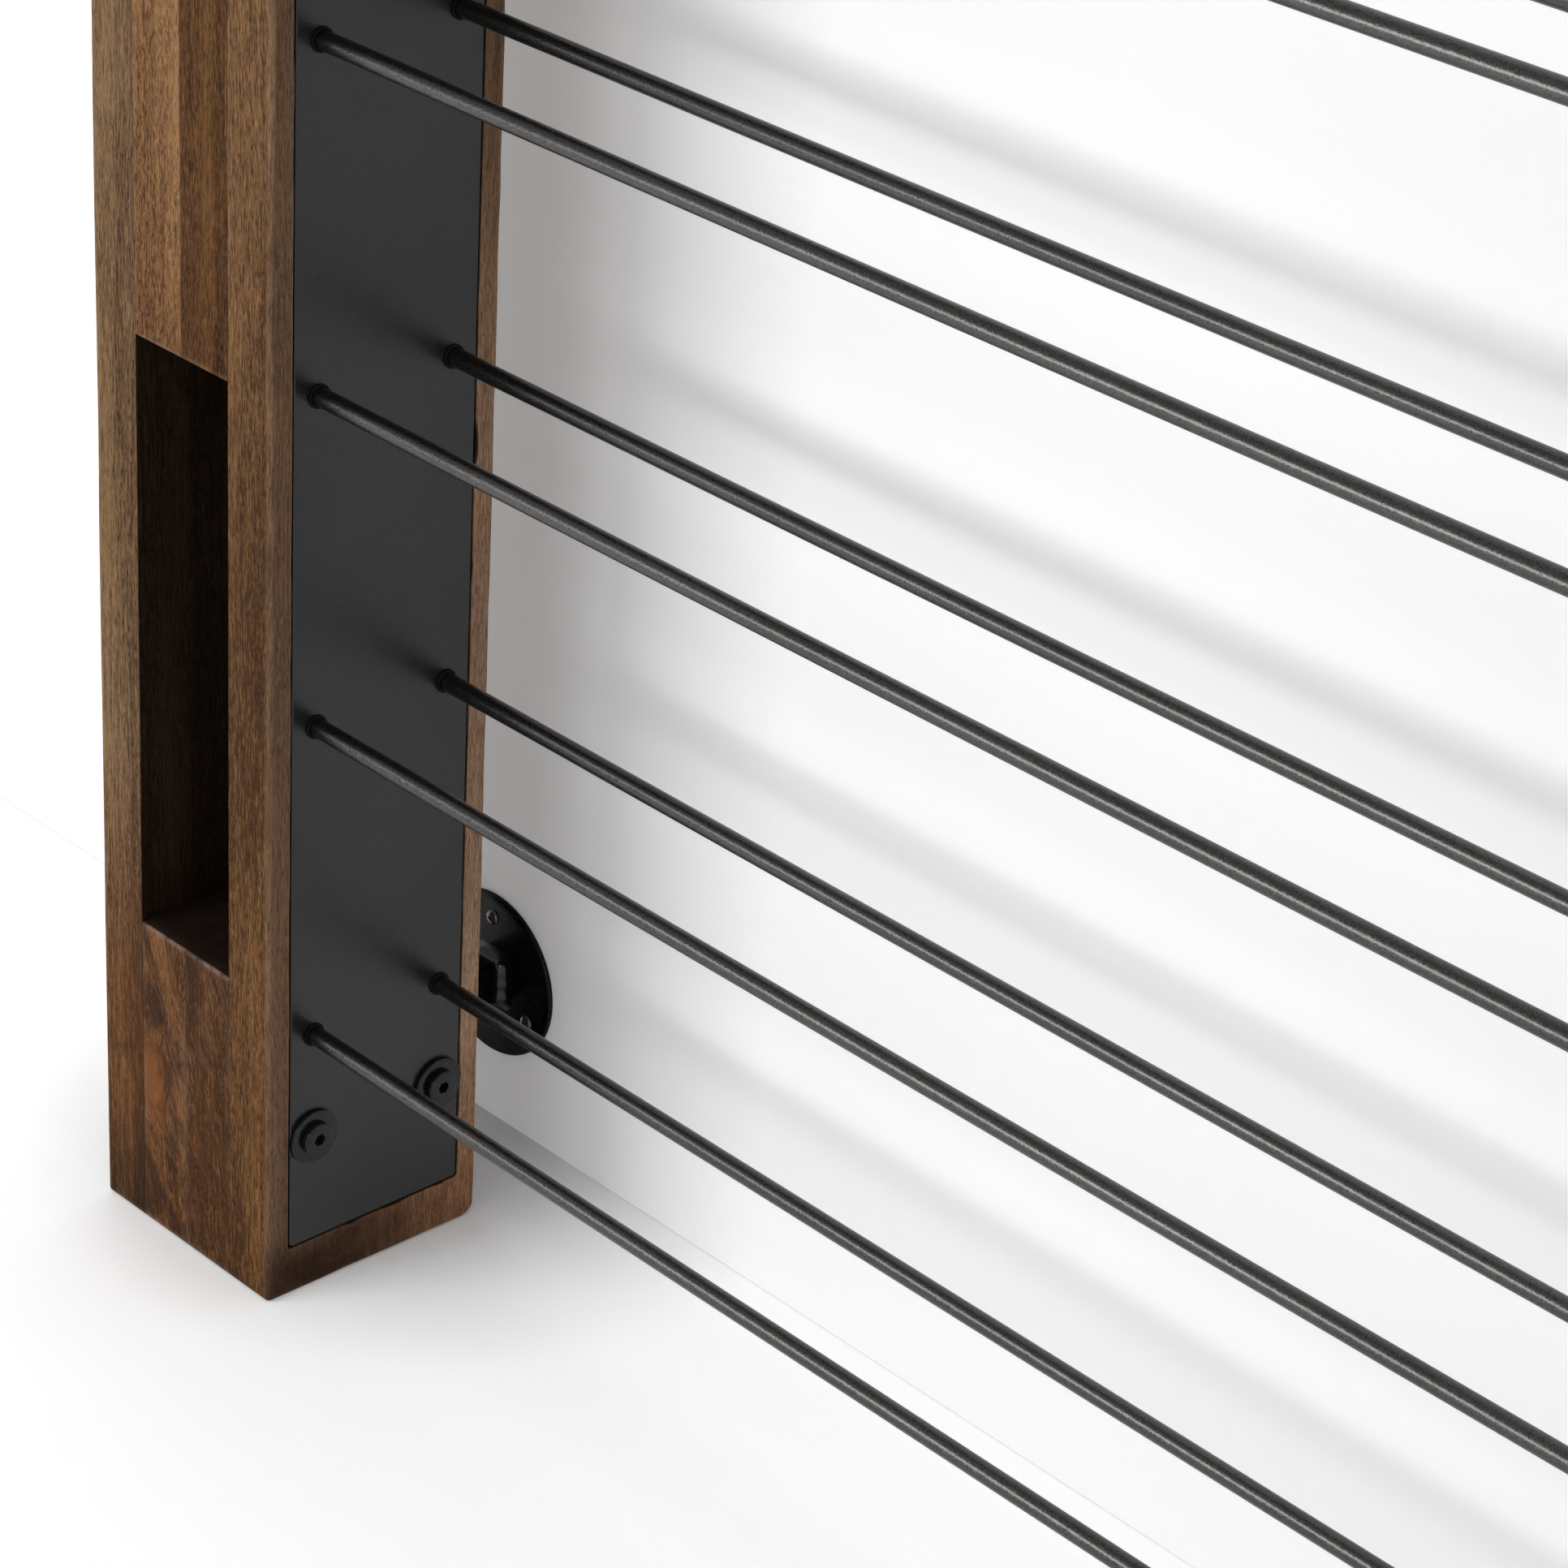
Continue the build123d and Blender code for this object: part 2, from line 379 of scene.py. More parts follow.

# %% [markdown]
# ## Pale rims, worn edges and painted slot shade
# Round the steel plate the inner board shows a paler rim: partly sapwood, and at the rear partly painted light that
# stands in for the wall's bounce light. It greys at the front and darkens up the rear. Edges are rubbed paler by
# hands, and the inside of the slots is painted nearly black as shade. Wear and the painted shade come from attributes
# on the points, which know where an edge is; a material alone would not.

# %% Rims and edges
TONE_STOPS = (0.18, 0.50, 0.82)
# Partly painted light: the pale rim tones are sapwood, and at the rear they also stand in for bounce light.
PALE_EDGE = [(0.25, 0.147, 0.088), (0.39, 0.239, 0.148), (0.51, 0.321, 0.203)]
FRONT_RIM = (0.46, 0.44, 0.43)
REAR_RIM = [(0.026, (0.94, 0.78, 0.68)), (0.044, (0.88, 0.78, 0.72)), (0.11, (1.13, 1.18, 1.20)),
            (0.20, (0.90, 0.92, 0.96)), (0.38, (0.92, 0.92, 0.92)), (0.44, (0.66, 0.65, 0.63)),
            (0.50, (0.38, 0.37, 0.36)), (0.58, (0.31, 0.30, 0.29))]
RIM_COVER = 0.92
WEAR_TONE = (0.34, 0.212, 0.125, 1)
SCUFF_TONE = (0.30, 0.235, 0.205, 1)
# Painted shade: inside a slot the wood is darkened towards this near-black, which stands in for the shade there.
SLOT_PAINTED_SHADE = (0.0120, 0.0085, 0.0075, 1)
SLOT_SHADE_COVER = 0.9


def sapwood_and_bounce_rim(at, tone, colour):
    """The pale rim on the inner face, tinted from front to rear, and along Z at the rear: partly sapwood, and at the
    rear partly painted bounce light from the wall.
    """
    inner = ramp(calc("ABSOLUTE", at[0]), (INNER_X + 0.0008, 1.0), (INNER_X + 0.0022, 0.0))
    depth = calc("ADD", at[1], 0.5)
    rear_y = board_high.y
    grey = ramp(depth, (rear_y + 0.410, FRONT_RIM), (rear_y + 0.490, (1.0, 1.0, 1.0)))
    rear = ramp(depth, (rear_y + 0.400, 0.0), (rear_y + 0.470, 1.0))
    sapwood_and_bounce = mix(1.0, ramp(tone, *zip(TONE_STOPS, PALE_EDGE)), grey, "MULTIPLY")
    sapwood_and_bounce = mix(rear, sapwood_and_bounce, ramp(at[2], *REAR_RIM), "MULTIPLY")
    return mix(times(inner, RIM_COVER), colour, sapwood_and_bounce)


def worn_and_stained(own, at, fibre, colour, scuff, foot_wear):
    """Paler where the wear attribute is high, in rubs that spare the hollows between fibres and the foot; painted
    nearly black as shade where the painted slot-shade attribute is high."""
    rubbed = ramp(noise(own, (170, 170, 60), 3.0), (0.36, 0.15), (0.62, 0.75))
    rubbed = times(rubbed, ramp(at[2], (0.08, foot_wear), (0.40, 1.0)))
    rubbed = times(rubbed, ramp(fibre, (0.36, 0.45), (0.60, 1.0)))
    wear, stain = (add("Attribute", {"attribute_name": key}, own.id_data).outputs["Fac"]
                   for key in ("wear", "stain"))
    colour = mix(times(wear, rubbed), colour, scuff)
    return mix(times(stain, SLOT_SHADE_COVER), colour, SLOT_PAINTED_SHADE)


print("the rim's tint changes at", len(REAR_RIM), "heights")

# %% One wood
# The wood is darker and warmer towards the foot.
FOOT_SINK = ((0.10, 0.16), (0.52, 0.0))
FOOT_TINT = ((0.10, (1.0, 0.92, 0.80)),)
STRIP_TINT = ((0.42, (1.0, 0.97, 0.94)),)
PORE_DARK, PORE_TONE = 0.36, (0.020, 0.010, 0.005, 1)
GOLDEN_TONE = (0.165, 0.090, 0.024, 1)
WOOD_SPECULAR, WOOD_RELIEF = 0.025, 0.35


def wood(name, palette, seed, pith=(-0.40, -0.30), rings=150.0, curl=0.3, figure=0.0, embers=(), hollows=(),
         golden=0.0, swirl=None, sink=FOOT_SINK, tint=FOOT_TINT, pale_rim=False, scuff=WEAR_TONE, foot_wear=0.35):
    """The tone, less a sink that grows towards the foot, read through a palette from dark to light; then pale dashes
    that are partly painted sheen, golden streaks, a foot tint, figure, pores, rubbed edges and the painted shade in
    the slots. curl shortens the fibres."""
    material, shader, place = start(name)
    shift = tuple(np.random.default_rng(seed).uniform(-1, 1, 3).round(3))
    own, grain = grain_space(place, shift, curl, figure)
    ring = growth_rings(grain, pith, rings, shift[0] * 9)
    tone, fibre, pore, dash_and_sheen = wood_patterns(own, grain, ring, curl)
    at = parts_of(place)
    sunk = ramp(at[2], *sink)
    colour = ramp(minus(tone, sunk), *zip(TONE_STOPS, palette))
    # Partly painted sheen: the pale dashes lighten the grain as its own pale fibres and as the sheen it would catch.
    pale_tone = minus(TONE_STOPS[2], times(sunk, 1.5))
    colour = mix(dash_and_sheen, colour, ramp(pale_tone, *zip(TONE_STOPS, palette)))
    if golden:
        glow = ramp(noise(own, (60, 60, 5), 2.0), (0.46, 0.0), (0.66, golden))
        colour = mix(glow, colour, GOLDEN_TONE)
    foot = ramp(at[2], *tint, (sink[-1][0], (1.0, 1.0, 1.0)))
    colour = mix(1.0, colour, foot, "MULTIPLY")
    if pale_rim:
        colour = sapwood_and_bounce_rim(at, tone, colour)
    if figure:
        colour = crotch(place, grain, colour, figure, embers, hollows)
    if swirl:
        colour = heart_swirl(place, colour, swirl)
    colour = mix(times(pore, PORE_DARK), colour, PORE_TONE)
    colour = worn_and_stained(own, at, fibre, colour, scuff, foot_wear)
    rough = ramp(weighed((fibre, 0.5), (pore, 0.5)), (0.15, 0.42), (0.85, 0.65))
    fill(shader, Base_Color=colour, Roughness=rough, Specular_IOR_Level=WOOD_SPECULAR,
         Normal=relief(minus(times(fibre, 0.5), pore), WOOD_RELIEF))
    return material


print("pores cover", PORE_DARK, "of the colour below them")

# %% The rack's woods
GREY_BROWN = [(0.038, 0.0205, 0.0105), (0.132, 0.075, 0.037), (0.245, 0.150, 0.080)]
GOLD_BROWN = [(0.062, 0.0270, 0.0115), (0.180, 0.089, 0.0385), (0.305, 0.166, 0.076)]
DARK_BROWN = [(0.022, 0.0088, 0.0034), (0.084, 0.036, 0.0130), (0.170, 0.080, 0.030)]
WARM_BROWN = [(0.043, 0.0178, 0.0074), (0.154, 0.070, 0.0275), (0.283, 0.141, 0.059)]
SOFT_BROWN = [(0.040, 0.0180, 0.0080), (0.142, 0.071, 0.0310), (0.262, 0.143, 0.066)]
block_foot = dict(curl=0.8, sink=((0.10, 0.19), (0.52, 0.0)), scuff=SCUFF_TONE, foot_wear=1.0)
woods = {
    "outer": wood("wood_outer_board", GREY_BROWN, 3, curl=0.15, golden=0.15,
                  sink=((0.017, 0.34), (0.06, 0.23), (0.11, 0.17), (0.23, 0.0)),
                  tint=((0.020, (0.66, 0.52, 0.43)), (0.045, (0.95, 0.72, 0.56)), (0.11, (1.0, 0.75, 0.58)))),
    "inner": wood("wood_inner_board", SOFT_BROWN, 11, pith=(-0.62, 0.16), rings=130.0, curl=0.45,
                  swirl=(-0.045, 0.012), sink=((0.05, 0.20), (0.18, 0.25), (0.28, 0.23), (0.52, 0.0)),
                  tint=((0.05, (1.0, 0.92, 0.70)),), pale_rim=True),
    "back": wood("wood_back_board", GREY_BROWN, 17),
    "golden": wood("wood_golden_strip", GOLD_BROWN, 23, pith=(-0.66, -0.18), rings=120.0, curl=1.0,
                   sink=((0.42, 0.13), (0.53, 0.0)), tint=STRIP_TINT),
    "dusky": wood("wood_dusky_strip", DARK_BROWN, 31, pith=(-0.47, -0.22), rings=190.0, curl=0.6, golden=0.2,
                  sink=((0.42, 0.04), (0.53, 0.0)), tint=STRIP_TINT),
    "foot_left": wood("wood_foot_strip_left", WARM_BROWN, 41, pith=(-0.59, -0.14), figure=1.0,
                      embers=[((-0.581, 0.072), 0.012, 0.026)],
                      hollows=[((-0.580, 0.113), 0.013, 0.020), ((-0.566, 0.086), 0.008, 0.024)], **block_foot),
    "foot_right": wood("wood_foot_strip_right", WARM_BROWN, 47, pith=(-0.50, -0.15), figure=0.7, **block_foot),
}
print("woods:", ", ".join(woods))

# %% [markdown]
# ## Boards and strips
# A board is a rectangle with its own radius at each corner, carried along Z. Outer edges are rounded and slightly
# uneven, as sanded wood is. Edges at a glue line keep a hair of easing, which draws the fine line between two
# strips. A box with a bevel would round every edge the same, so the section is worked out corner by corner.

# %% A board's section
EDGE_R, GLUE_EASE = 1.8 * MM, 0.35 * MM
ARC = np.radians(np.linspace(0, 90, 6))
SHOULDERS = np.array([0.8, 3.0]) * MM
LEAST_WEAR, SHOULDER_WEAR = 0.25, 0.2


def outline(x0, x1, y0, y1, radii, shaded_sides):
    """The section's points, anticlockwise from the front left: for each corner two shoulder points, an arc and two
    more shoulder points. Each size is an array over the stations. Returns points, wear and the painted slot shade."""
    corners = [(x0, y0), (x1, y0), (x1, y1), (x0, y1)]
    heads = np.array([(0, -1), (1, 0), (0, 1), (-1, 0)], float)
    points, wear, stain = [], [], []
    for k, ((cx, cy), r) in enumerate(zip(corners, radii)):
        into, out = heads[k], heads[(k + 1) % 4]
        corner = np.stack([cx, cy], -1)[:, None, :]
        r = r[:, None, None]
        turn = r * (out - into) + r * (np.sin(ARC)[:, None] * into - np.cos(ARC)[:, None] * out)
        before = -into * (r + SHOULDERS[::-1, None])
        after = out * (r + SHOULDERS[:, None])
        points += [corner + before, corner + turn, corner + after]
        worn = np.clip(r[:, :, 0] / EDGE_R, LEAST_WEAR, 1)
        shoulder = np.array([0, SHOULDER_WEAR])
        wear += [worn * shoulder, worn * np.ones(len(ARC)), worn * shoulder[::-1]]
        here, there = shaded_sides[(k - 1) % 4], shaded_sides[k]
        fade = np.concatenate([[here, here], np.linspace(here, there, len(ARC)), [there, there]])
        stain.append(np.broadcast_to(fade, (len(cx), len(fade))))
    return np.concatenate(points, 1), np.concatenate(wear, 1), np.concatenate(stain, 1)


print("points in a section:", 4 * (len(ARC) + 2 * len(SHOULDERS)))

# %% Uneven edges and two sides
SIDES = {"left": 1, "right": -1}


def smooth_noise(length, knots, seed):
    """Values from -1 to 1 along a line: random knots joined by cosine steps."""
    rng = np.random.default_rng(seed)
    level = rng.uniform(-1, 1, knots + 1)
    t = np.linspace(0, knots, length, endpoint=False)
    k = t.astype(int)
    s = (1 - np.cos(np.pi * (t - k))) / 2
    return level[k] * (1 - s) + level[k + 1] * s


def on_side(points, side):
    """Points made for the left post, or their mirror image on the right."""
    return points * np.array([SIDES[side], 1, 1])


print("sides:", ", ".join(SIDES))

# %% A board
END_ARC = np.linspace(0, np.pi / 2, 5)
LIP_FADE, END_CLEAR, STATION = 1.6 * MM, 8 * MM, 9 * MM
UNEVEN, LEAST_R, CAP_IN = 0.22, 0.15 * MM, 0.1


def stations(low, high, bottom_r, top_r):
    """Heights along a board: a quarter circle of stations at each end, and even steps between."""
    middle = np.linspace(low + END_CLEAR, high - END_CLEAR, max(4, int((high - low) / STATION)))
    middle = np.concatenate([[low + bottom_r + LIP_FADE], middle, [high - top_r - LIP_FADE]])
    ends = low + bottom_r * (1 - np.cos(END_ARC)), high - top_r * (1 - np.cos(END_ARC[::-1]))
    return np.concatenate([ends[0], middle, ends[1]])


def board(name, low, high, radii, side, material, nodes, ends, shaded_sides=(0, 0, 0, 0), shaded_ends=(0, 0),
          end_wear=(0.6, 0.4), seed=0):
    """A board from its low to its high corner. ends holds, for the bottom and the top, an easing radius and which of
    the four sides (front, right, back, left) take it: there the section shrinks along a quarter circle."""
    bottom, top = ends
    n = len(END_ARC)
    z = stations(low[2], high[2], bottom[0], top[0])
    shrink = np.zeros((len(z), 4))
    shrink[:n] = (bottom[0] * (1 - np.sin(END_ARC)))[:, None] * np.array(bottom[1])
    shrink[-n:] = (top[0] * (1 - np.sin(END_ARC[::-1])))[:, None] * np.array(top[1])
    front, right, back, left = shrink.T
    uneven = 1 + UNEVEN * smooth_noise(len(z), max(3, len(z) // 5), seed)
    eased = [np.maximum(r * (uneven if r > MM else 1) - shrink.max(1), LEAST_R) for r in radii]
    xy, wear, stain = outline(low[0] + left, high[0] - right, low[1] + front, high[1] - back, eased, shaded_sides)
    wear[:n], wear[-n:] = end_wear
    middle = np.array([(low[0] + high[0]) / 2, (low[1] + high[1]) / 2])
    caps = [xy[row] * (1 - CAP_IN) + middle * CAP_IN for row in (0, -1)]
    xy = np.concatenate([caps[:1], xy, caps[1:]])
    z = np.concatenate([z[:1], z, z[-1:]])
    wear = np.pad(wear, ((1, 1), (0, 0)))
    stain = np.pad(stain, ((1, 1), (0, 0)))
    stain[:2], stain[-2:] = shaded_ends
    rows, cols = xy.shape[:2]
    points = np.concatenate([xy, np.broadcast_to(z[:, None, None], (rows, cols, 1))], -1).reshape(-1, 3)
    points = np.concatenate([points, [[*middle, low[2]], [*middle, high[2]]]])
    wear = np.concatenate([wear.ravel(), [0, 0]])
    stain = np.concatenate([stain.ravel(), shaded_ends])
    first, last = np.arange(cols), np.arange(cols) + (rows - 1) * cols
    faces = [grid_faces(rows, cols), fan_faces(first, rows * cols), fan_faces(last, rows * cols + 1)]
    return build(name, on_side(points, side), faces, material, "stained_hardwood", nodes, wear=wear, stain=stain)


print("a station about every", round(STATION / MM), "mm")

# %% [markdown]
# ## The posts' boards and core strips
# Each post has an outer board, a back board and short core blocks of two strips; the gaps between the blocks are
# the slots. One solid post would show no glue lines, so each strip is a piece of its own. The places come from the
# CAD nodes on the left, and the right post is its mirror image. Faces that look into a slot are painted dark, as
# shade.

# %% Boards of both posts
END_R, SLOT_R = 2.0 * MM, 1.0 * MM
# Painted shade on the board sides that face into a slot.
SLOT_SIDE_SHADE = 0.9
FOOT_LEVEL, TOP_LEVEL = 1, 3
outer_low, outer_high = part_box("left_outer_board")
core_low, core_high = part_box("left_core_block_1")
back_low, back_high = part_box("left_back_board")
seam_x = (core_low.x + core_high.x) / 2
strip_woods = [("foot_left", "foot_right"), ("golden", "dusky"), ("golden", "dusky")]
front_only = (1, 0, 0, 0)


def core_block(side, level, pair):
    """Two strips side by side; only the left one stands for the CAD block."""
    low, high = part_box(f"left_core_block_{level}")
    foot, top = level == FOOT_LEVEL, level == TOP_LEVEL
    ends = [(END_R if foot else SLOT_R, front_only), (END_R if top else SLOT_R, front_only)]
    for place, kind, x0, x1 in (("left", pair[0], low.x, seam_x), ("right", pair[1], seam_x, high.x)):
        replaced = [f"{side}_core_block_{level}"] if place == "left" else []
        board(f"{side}_core_{level}_{place}_strip_wood", (x0, low.y, low.z), (x1, high.y, high.z), (GLUE_EASE,) * 4,
              side, woods[kind], replaced, ends, shaded_ends=(0 if foot else 1, 0 if top else 1),
              end_wear=(0.5, 0.75 if foot else 0.3), seed=7 + level)


for side in SIDES:
    board(f"{side}_outer_board_wood", outer_low, outer_high, (EDGE_R, GLUE_EASE, GLUE_EASE, EDGE_R), side,
          woods["outer"], [f"{side}_outer_board"], [(END_R, (1, 0, 1, 1))] * 2, shaded_sides=(0, SLOT_SIDE_SHADE, 0, 0),
          seed=5)
    board(f"{side}_back_board_wood", back_low, back_high, (GLUE_EASE,) * 4, side, woods["back"],
          [f"{side}_back_board"], [(END_R, (0, 0, 1, 0))] * 2, shaded_sides=(SLOT_SIDE_SHADE, 0, 0, 0), seed=6)
    for level, pair in enumerate(strip_woods, start=FOOT_LEVEL):
        core_block(side, level, pair)
print("slot from", round(core_high.z, 3), "m up, core seam at x", round(seam_x, 4))

# %% [markdown]
# ## The inner board and its recess
# The board that carries the steel plate has a shallow recess cut into it by a hand-held router, and its lip is not
# quite straight: it wanders a little and has a few chips. A boolean cut would give a perfect lip, so this board is
# a frame: a profile that runs round the board's edge, over its rounded corner, across the rim to the wavy lip, and
# down into the recess.

# %% Loops round a rectangle
LONG_POINTS, SHORT_POINTS = 330, 40
BEND = np.linspace(0, np.pi / 2, 9)[1:-1]
CORNER_R, REAR_CORNER_R, LEAST_CORNER = 2.0 * MM, 6.5 * MM, 0.3 * MM


def straight_run(a, b, count):
    """Points at even steps from a to b."""
    t = np.linspace(0, 1, count)[:, None]
    return np.array(a) * (1 - t) + np.array(b) * t


def corner_bend(y, z, r, begin):
    """The inner points of a quarter circle of radius r round (y, z), from the angle begin on."""
    return np.stack([y + r * np.cos(begin + BEND), z + r * np.sin(begin + BEND)], -1)


def rectangle_loop(y0, y1, z0, z1, radius, rear=None):
    """Points round a rectangle with rounded corners in the YZ plane, anticlockwise from the bottom front: straight
    sides at even steps, then arcs. The two rear corners can have a radius of their own."""
    rear = rear or radius
    front_y, rear_y = y0 + radius, y1 - rear
    return np.concatenate([
        straight_run((front_y, z0), (rear_y, z0), SHORT_POINTS), corner_bend(rear_y, z0 + rear, rear, -np.pi / 2),
        straight_run((y1, z0 + rear), (y1, z1 - rear), LONG_POINTS), corner_bend(rear_y, z1 - rear, rear, 0),
        straight_run((rear_y, z1), (front_y, z1), SHORT_POINTS),
        corner_bend(front_y, z1 - radius, radius, np.pi / 2),
        straight_run((y0, z1 - radius), (y0, z0 + radius), LONG_POINTS),
        corner_bend(front_y, z0 + radius, radius, np.pi)])


def inset_loop(box, side_in, end_in):
    """A rectangle's loop moved in by one amount at its long sides and another at its ends, its corners shrinking."""
    y0, y1, z0, z1 = box
    less = max(side_in, end_in)
    radius, rear = max(CORNER_R - less, LEAST_CORNER), max(REAR_CORNER_R - less, LEAST_CORNER)
    return rectangle_loop(y0 + side_in, y1 - side_in, z0 + end_in, z1 - end_in, radius, rear)


def outward(loop):
    """Unit normals of an anticlockwise loop, pointing away from its inside."""
    along = np.roll(loop, -1, 0) - np.roll(loop, 1, 0)
    normal = np.stack([along[:, 1], -along[:, 0]], -1)
    return normal / np.linalg.norm(normal, axis=1, keepdims=True)


print("points in a loop:", 2 * (LONG_POINTS + SHORT_POINTS) + 4 * len(BEND))

# %% A worn lip
RIM_GAP, LIP_CORNER_R = 0.8 * MM, 1.6 * MM
LIP_WANDERS = [(0.16 * MM, 90), (0.12 * MM, 260)]
plate_low, plate_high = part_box("left_side_plate")


def chipped_lip(loop, chips, seed):
    """How far the lip stands back from its straight line: a fine wander and smooth bites at the chips."""
    wander_in = sum(reach * smooth_noise(len(loop), knots, seed + k) for k, (reach, knots) in enumerate(LIP_WANDERS))
    bites = np.zeros(len(loop))
    for y, z, length, depth in chips:
        away = np.linalg.norm(loop - np.array([y, z]), axis=1) / length
        bites = np.maximum(bites, depth * np.exp(-(away * 2) ** 4))
    return wander_in + bites


def recess_lip(chips, seed):
    """The plate's outline, grown by the gap and pushed outwards by wander and chips."""
    loop = rectangle_loop(plate_low.y - RIM_GAP, plate_high.y + RIM_GAP, plate_low.z - RIM_GAP,
                          plate_high.z + RIM_GAP, LIP_CORNER_R)
    return loop + outward(loop) * chipped_lip(loop, chips, seed)[:, None]


print("gap round the plate:", RIM_GAP, "m")

# %% The inner board's profile
SPINE, SWELL, LIP_EASE = 57 * MM, 0.25 * MM, 0.25 * MM
ARRIS_WEAR = 0.55


def spine_loop(low, high):
    """The board's outline drawn in to an upright line in its middle, point for point."""
    up = np.linspace(low.z + SPINE, high.z - SPINE, LONG_POINTS)
    bend = len(BEND)
    z = np.concatenate([np.full(SHORT_POINTS + bend, up[0]), up, np.full(SHORT_POINTS + bend, up[-1]),
                        np.full(bend, up[-1]), up[::-1], np.full(bend, up[0])])
    return np.stack([np.full(len(z), (low.y + high.y) / 2), z], -1)


def inner_board(side, low, high, chips, seed):
    """Rows of the profile, from the middle of the glued face round to the middle of the recess floor. A row is (x,
    loop, wear, painted slot shade), and its loop is the board's outline moved in, the recess lip or the spine."""
    box = (low.y, high.y, low.z, high.z)
    rim, spine, lip = inset_loop(box, 0, 0), spine_loop(low, high), recess_lip(chips, seed)
    out = outward(rim)
    straight = np.max(np.abs(out), axis=1) > 0.999
    uneven = SWELL * smooth_noise(len(rim), 150, seed + 2) * straight
    swell = out * (uneven - SWELL)[:, None]
    at_end = np.abs(out[:, 1])
    round_r = EDGE_R * (1 - at_end) + END_R * at_end
    rows = [(low.x, spine, 0, 1), (low.x, inset_loop(box, GLUE_EASE, GLUE_EASE), 0.1, 1),
            (low.x + GLUE_EASE, rim, 0.1, 0), (high.x - round_r - 4 * MM, rim, 0, 0),
            (high.x - round_r - 1 * MM, rim, 0.1, 0)]
    for a in ARC:
        share = 1 - np.cos(a)
        eased = inset_loop(box, EDGE_R * share, END_R * share) + swell * np.sin(2 * a)
        rows.append((high.x - round_r * (1 - np.sin(a)), eased, ARRIS_WEAR, 0))
    for more, worn in ((1.0 * MM, SHOULDER_WEAR), (3.6 * MM, 0)):
        rows.append((high.x, inset_loop(box, EDGE_R + more, END_R + more), worn, 0))
    for more, worn in ((1.0 * MM, 0), (0, 0.35)):
        rows.append((high.x, lip + outward(lip) * (more + LIP_EASE), worn, 0))
    rows += [(high.x - LIP_EASE, lip, 0.3, 0.6), (plate_low.x, lip, 0, 1), (plate_low.x, spine, 0, 1)]
    cols = len(rim)
    points = np.stack([np.column_stack([np.broadcast_to(x, cols), yz]) for x, yz, _, _ in rows])
    wear = np.repeat([row[2] for row in rows], cols)
    stain = np.repeat([row[3] for row in rows], cols)
    return build(f"{side}_inner_board_wood", on_side(points, side), [grid_faces(len(rows), cols)], woods["inner"],
                 "stained_hardwood", [f"{side}_inner_board"], wear=wear, stain=stain)


print("the lip's edge is eased by", LIP_EASE, "m")

# %% Both inner boards
rear_lip, foot_lip, front_lip = plate_high.y + RIM_GAP, plate_low.z - RIM_GAP, plate_low.y - RIM_GAP
mid_y = (plate_low.y + plate_high.y) / 2
chips = {
    "left": [(rear_lip, 0.374, 0.017, 1.7 * MM), (rear_lip, 0.318, 0.008, 0.5 * MM),
             (mid_y + 0.011, foot_lip, 0.012, 0.6 * MM), (mid_y - 0.012, foot_lip, 0.007, 0.7 * MM),
             (mid_y + 0.037, foot_lip, 0.006, 0.5 * MM), (front_lip, 0.690, 0.010, 0.7 * MM)],
    "right": [(front_lip, 0.212, 0.014, 0.9 * MM), (rear_lip, 0.640, 0.012, 1.1 * MM),
              (mid_y - 0.021, foot_lip, 0.009, 0.6 * MM)],
}
for side, seed in (("left", 60), ("right", 70)):
    frame_piece = inner_board(side, board_low, board_high, chips[side], seed)
    print(frame_piece.name, len(frame_piece.data.polygons), "faces")

# %% [markdown]
# ## Satin black plate
# The side plate is steel with a thin satin black coat. It is dark, but not flat: it carries a soft blurred
# reflection of the rods and the pale room, and a fine grain that only shows close up. A painted reflection would stay
# put when the view moves, so it comes from the shader's roughness. A narrow bevel along the edge catches the light as
# a thin line.

# %% Satin black
MOTTLE_LOW, MOTTLE_HIGH, ROUGH_SPREAD = 0.1, 2.1, 0.06


def satin_black(name, tone, rough, grain=1500.0, peel=0.06, specular=0.5, metallic=0.0):
    """Coated steel: slightly mottled tone and roughness, and fine orange-peel relief."""
    material, shader, place = start(name)
    fine = noise(place, (grain,) * 3, 2.0, 0.6)
    cloud = noise(place, (18, 18, 18), 3.0)
    both = weighed((fine, 0.6), (cloud, 0.4))
    low = tuple(c * MOTTLE_LOW for c in tone)
    high = tuple(c * MOTTLE_HIGH for c in tone)
    fill(shader, Base_Color=ramp(both, (0.35, low), (0.65, high)), Specular_IOR_Level=specular, Metallic=metallic,
         Roughness=ramp(both, (0.30, rough - ROUGH_SPREAD), (0.70, rough + ROUGH_SPREAD)),
         Normal=relief(fine, peel))
    return material


plate_finish = satin_black("satin_black_plate", (0.0055, 0.0055, 0.0057), 0.32, grain=950.0, peel=0.50,
                           specular=0.41)
print("finish:", plate_finish.name)

# %% Side plates
BEVEL, PLATE_CORNER_R = 0.4 * MM, 2.0 * MM


